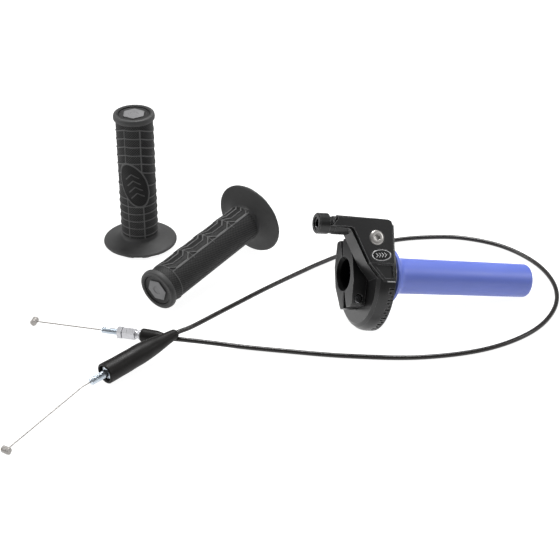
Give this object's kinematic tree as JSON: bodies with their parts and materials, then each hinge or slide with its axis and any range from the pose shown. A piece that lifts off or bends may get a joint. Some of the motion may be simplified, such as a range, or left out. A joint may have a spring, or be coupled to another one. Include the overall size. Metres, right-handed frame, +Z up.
{
  "type": "twist throttle kit",
  "caption": "Motorcycle twist throttle with a machined cable housing and blue twist tube, laid out beside its loose control cable and a pair of rubber grips.",
  "frame": {"origin": "centre of the kit's footprint, on the bench it is laid out on", "axes": "+Z up from the bench; +X along the kit's longest side, from the cable's free ends towards the tip of the twist tube; +Y away from the viewer, towards the grips"},
  "size_m": [0.4186, 0.3269, 0.121],
  "materials": {
    "black_anodised": "black anodised, satin, machined",
    "black_steel": "black oxide",
    "badge_plate": "black with a silver edge",
    "steel_screw": "plain turned steel",
    "zinc_steel": "zinc plated",
    "bright_alloy": "bright turned",
    "white_nylon": "plain",
    "reel_plastic": "plain",
    "blue_tube": "satin periwinkle blue",
    "casing_plastic": "semi-gloss",
    "boot_rubber": "soft sheen",
    "wire_steel": "stranded and cast, dull",
    "grip_rubber": "knurled, matt",
    "grip_plug": "matt",
    "grip_emblem": "grey, matt"
  },
  "bodies": {
    "throttle_body": {"throttle_housing": "black_anodised", "clamp_screw_upper": "black_steel", "clamp_screw_lower": "black_steel", "cable_cover": "black_anodised", "oval_badge": "badge_plate", "roller_axle_screw": "steel_screw", "roller_bearing": "zinc_steel", "housing_end_plate": "black_anodised", "end_plate_screw_1": "black_steel", "end_plate_screw_2": "black_steel", "end_plate_screw_3": "black_steel", "end_plate_screw_4": "black_steel", "inner_thrust_washer": "white_nylon", "outer_thrust_washer": "white_nylon", "cable_inlet_bush": "black_steel"},
    "clamp_cap": {"bar_clamp_cap": "black_anodised"},
    "twist_tube": {"throttle_tube": "blue_tube", "cable_reel": "reel_plastic"},
    "roller": {"cable_roller": "reel_plastic"},
    "cable": {"cable_casing": "casing_plastic", "cable_ferrule": "zinc_steel", "casing_end_cap": "bright_alloy", "short_boot": "boot_rubber"},
    "throttle_boot": {"long_boot": "boot_rubber"},
    "throttle_end_wire": {"inner_wire_throttle_end": "wire_steel", "nipple_throttle_end": "wire_steel"},
    "carb_end_wire": {"inner_wire_carb_end": "wire_steel", "nipple_carb_end": "wire_steel"},
    "adjuster": {"adjuster_barrel": "bright_alloy"},
    "stud": {"adjuster_stud": "zinc_steel"},
    "lock_nut": {"adjuster_lock_nut": "bright_alloy"},
    "left_grip": {"left_grip_rubber": "grip_rubber", "left_grip_plug": "grip_plug", "left_grip_emblem": "grip_emblem"},
    "right_grip": {"right_grip_rubber": "grip_rubber", "right_grip_plug": "grip_plug", "right_grip_emblem": "grip_emblem"}
  },
  "joints": [
    {"name": "throttle_twist", "type": "hinge", "parent": "throttle_body", "child": "twist_tube", "pos_m": [0.0334, 0.0026, 0.04695], "axis": [0.9308, 0.2935, -0.2177], "range_deg": [0, 75]},
    {"name": "roller_spin", "type": "hinge", "parent": "throttle_body", "child": "roller", "pos_m": [0.0533, 0.00134, 0.07707], "axis": [-0.3638, 0.6885, -0.6274], "continuous": true},
    {"name": "clamp_open", "type": "slide", "parent": "throttle_body", "child": "clamp_cap", "axis": [-0.3638, 0.6885, -0.6274], "range_m": [0, 0.004]},
    {"name": "cable_lift", "type": "slide", "parent": "throttle_body", "child": "cable", "axis": [0, 0, 1], "range_m": [0, 0.12]},
    {"name": "long_boot_slide", "type": "slide", "parent": "cable", "child": "throttle_boot", "axis": [-0.7146, -0.6974, -0.0541], "range_m": [0, 0.012]},
    {"name": "throttle_wire_pull", "type": "slide", "parent": "cable", "child": "throttle_end_wire", "axis": [-0.7146, -0.6974, -0.0541], "range_m": [-0.005, 0.03]},
    {"name": "carb_wire_pull", "type": "slide", "parent": "cable", "child": "carb_end_wire", "axis": [-0.9666, 0.2554, -0.0209], "range_m": [-0.03, 0.005]},
    {"name": "adjuster_turn", "type": "hinge", "parent": "cable", "child": "adjuster", "pos_m": [-0.1305, -0.01702, 0.00543], "axis": [0.9666, -0.2554, 0.0209], "range_deg": [0, 1080]},
    {"name": "stud_feed", "type": "slide", "parent": "cable", "child": "stud", "axis": [-0.9666, 0.2554, -0.0209], "range_m": [0, 0.0024]},
    {"name": "lock_nut_turn", "type": "hinge", "parent": "stud", "child": "lock_nut", "pos_m": [-0.13727, -0.01523, 0.00529], "axis": [0.9666, -0.2554, 0.0209], "continuous": true},
    {"name": "left_grip_lift", "type": "slide", "parent": "throttle_body", "child": "left_grip", "axis": [0, 0, 1], "range_m": [0, 0.12]},
    {"name": "right_grip_lift", "type": "slide", "parent": "throttle_body", "child": "right_grip", "axis": [0, 0, 1], "range_m": [0, 0.12]}
  ],
  "couplings": [
    {"joint": "carb_wire_pull", "follows": "throttle_wire_pull", "ratio": -1},
    {"joint": "adjuster_turn", "follows": "stud_feed", "rad_per_m": 7853.9}
  ]
}
